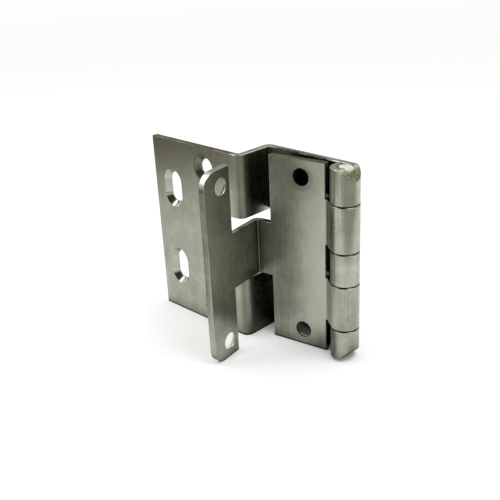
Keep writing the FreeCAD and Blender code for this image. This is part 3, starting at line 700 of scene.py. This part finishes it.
# Matt white paper, lifted to white where it is looked at, and more so far away, where no lamp reaches; the
# hinge's soft shadow stays on it.
def pale_paper(stage):
    """Paper for the floor."""
    material, output = new_material("pale_paper")
    tree = material.node_tree
    # Deep shade stays in the narrow gaps under the hinge.
    sky = add_node(tree, "ShaderNodeAmbientOcclusion", {
        "Distance": SHADE_REACH * MM,
    }, samples=SHADE_SAMPLES)
    deepest, past_shade = SHADE_OPENNESS
    lit = add_node(tree, "ShaderNodeMapRange", {
        "Value": sky.outputs["AO"], "From Min": deepest, "From Max": past_shade, "To Min": SHADE_LEFT,
    })
    tone = add_node(tree, "ShaderNodeMix", {
        "Factor": lit.outputs["Result"], 6: BLACK, 7: opaque(stage.floor),
    }, data_type="RGBA")
    paper = add_node(tree, "ShaderNodeBsdfDiffuse", {"Color": tone.outputs[2]})
    place = add_node(tree, "ShaderNodeTexCoord")
    away = add_node(tree, "ShaderNodeVectorMath", {0: place.outputs["Object"]}, operation="LENGTH")
    near, far = LIFT_DISTANCES
    near_lift, far_lift = LIFTS
    glow = add_node(tree, "ShaderNodeMapRange", {
        "Value": away.outputs["Value"],
        "From Min": near,
        "From Max": far,
        "To Min": near_lift,
        "To Max": far_lift,
    })
    lift = add_node(tree, "ShaderNodeEmission", {
        "Color": tone.outputs[2], "Strength": glow.outputs["Result"],
    })
    lifted = add_node(tree, "ShaderNodeAddShader", {0: paper.outputs["BSDF"], 1: lift.outputs["Emission"]})
    shown = add_node(tree, "ShaderNodeMixShader", {
        "Fac": seen_ray(tree), 1: paper.outputs["BSDF"], 2: lifted.outputs["Shader"],
    })
    tree.links.new(shown.outputs["Shader"], output.inputs["Surface"])
    return material


# Waxed wood or a dim wall in half shade: one even, dull tone for the steel to mirror.
def shaded_tone(name, colour):
    """Material of one card."""
    material, output = new_material(name)
    tree = material.node_tree
    tone = add_node(tree, "ShaderNodeEmission", {"Color": opaque(colour), "Strength": 1.0})
    tree.links.new(tone.outputs["Emission"], output.inputs["Surface"])
    return material


def add_plane(name, material, width, depth):
    """Level stage piece about the hinge's origin, in metres."""
    bpy.ops.mesh.primitive_plane_add(size=1)
    plane = bpy.context.object
    plane.name = name
    plane.scale = (width, depth, 1)
    bpy.ops.object.transform_apply(location=False, rotation=False, scale=True)
    plane.data.materials.append(material)
    return plane


def add_card(stage, name, setting, size, place, tilt, swing):
    """Card square to the camera that only the steel mirrors: it isn't seen, and neither lights nor shades."""
    card = add_plane(name, shaded_tone(name, getattr(stage, setting)), *size)
    card.location = Matrix.Rotation(stage.camera_turn, 3, "Z") @ Vector(place)
    card.rotation_euler = (tilt, 0.0, stage.camera_turn + swing)
    card.visible_camera = False
    card.visible_diffuse = False
    card.visible_shadow = False


def light_world(stage):
    """White all round where it is looked at, and an even light on the hinge."""
    world = bpy.data.worlds.new("white_surroundings")
    world.use_nodes = True
    tree = world.node_tree
    tree.nodes.clear()
    light = add_node(tree, "ShaderNodeBackground", {"Color": WHITE, "Strength": stage.ambient})
    white = add_node(tree, "ShaderNodeBackground", {"Color": WHITE, "Strength": 1.0})
    shown = add_node(tree, "ShaderNodeMixShader", {
        "Fac": seen_ray(tree), 1: light.outputs["Background"], 2: white.outputs["Background"],
    })
    add_node(tree, "ShaderNodeOutputWorld", {"Surface": shown.outputs["Shader"]})
    bpy.context.scene.world = world


def add_softbox(stage, name, setting, way, along, size):
    """Soft lamp that stands one way from the hinge, looks at it and has its long side along another way."""
    towards = Vector(way).normalized()
    bpy.ops.object.light_add(type="AREA", location=HINGE_MIDDLE + towards * SOFTBOX_DISTANCE)
    lamp = bpy.context.object
    lamp.name = name
    across = Vector(along).cross(towards).normalized()
    lamp.rotation_euler = Matrix((across, towards.cross(across), towards)).transposed().to_euler()
    lamp.data.shape = "RECTANGLE"
    lamp.data.size, lamp.data.size_y = size
    lamp.data.energy = getattr(stage, setting)


def add_camera(stage):
    """Camera that stands where the photograph was taken."""
    bpy.ops.object.camera_add(location=stage.camera_place)
    camera = bpy.context.object
    camera.name = "photo_camera"
    turn = Matrix.Rotation(stage.camera_turn, 3, "Z")
    fall = Matrix.Rotation(math.pi / 2 - stage.camera_fall, 3, "X")
    roll = Matrix.Rotation(stage.camera_roll, 3, "Z")
    camera.rotation_euler = (turn @ fall @ roll).to_euler()
    camera.data.sensor_width = FRAME_WIDTH
    camera.data.lens = stage.lens
    camera.data.clip_start = NEAREST_SIGHT
    bpy.context.scene.camera = camera


class HINGE_OT_set_stage(bpy.types.Operator):
    """Pale floor, soft studio light and the camera of the photograph"""

    bl_idname = "hinge.set_stage"
    bl_label = "Set Stage"

    def execute(self, context):
        stage = context.scene.hinge_stage
        bpy.ops.object.select_all(action="DESELECT")
        floor = add_plane("floor", pale_paper(stage), PAPER_SIDE, PAPER_SIDE)
        floor.location = (0.0, 0.0, FLOOR_LEVEL)
        for card in CARDS:
            add_card(stage, *card)
        light_world(stage)
        for softbox in SOFTBOXES:
            add_softbox(stage, *softbox)
        add_camera(stage)
        context.scene.view_settings.view_transform = "Standard"
        return {"FINISHED"}


class HINGE_PT_sidebar(bpy.types.Panel):
    """Steps and settings of the hinge"""

    bl_idname = "HINGE_PT_sidebar"
    bl_label = "Five Knuckle Hinge"
    bl_space_type = "VIEW_3D"
    bl_region_type = "UI"
    bl_category = "Hinge"

    def draw(self, context):
        for settings in (context.scene.hinge_steel, context.scene.hinge_stage):
            for name in settings.__annotations__:
                self.layout.prop(settings, name)
        for step in STEPS:
            self.layout.operator(step.bl_idname)


STEPS = (
    HINGE_OT_finish_slotted_leaf,
    HINGE_OT_finish_wrap_leaf,
    HINGE_OT_finish_pin,
    HINGE_OT_set_stage,
)
CLASSES = (HingeSteelSettings, HingeStageSettings, *STEPS, HINGE_PT_sidebar)


def register():
    for cls in CLASSES:
        bpy.utils.register_class(cls)
    bpy.types.Scene.hinge_steel = PointerProperty(type=HingeSteelSettings)
    bpy.types.Scene.hinge_stage = PointerProperty(type=HingeStageSettings)


def unregister():
    del bpy.types.Scene.hinge_stage
    del bpy.types.Scene.hinge_steel
    for cls in reversed(CLASSES):
        bpy.utils.unregister_class(cls)


def main():
    """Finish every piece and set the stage."""
    register()
    bpy.ops.hinge.finish_slotted_leaf()
    bpy.ops.hinge.finish_wrap_leaf()
    bpy.ops.hinge.finish_pin()
    bpy.ops.hinge.set_stage()


if __name__ == "__main__":
    main()
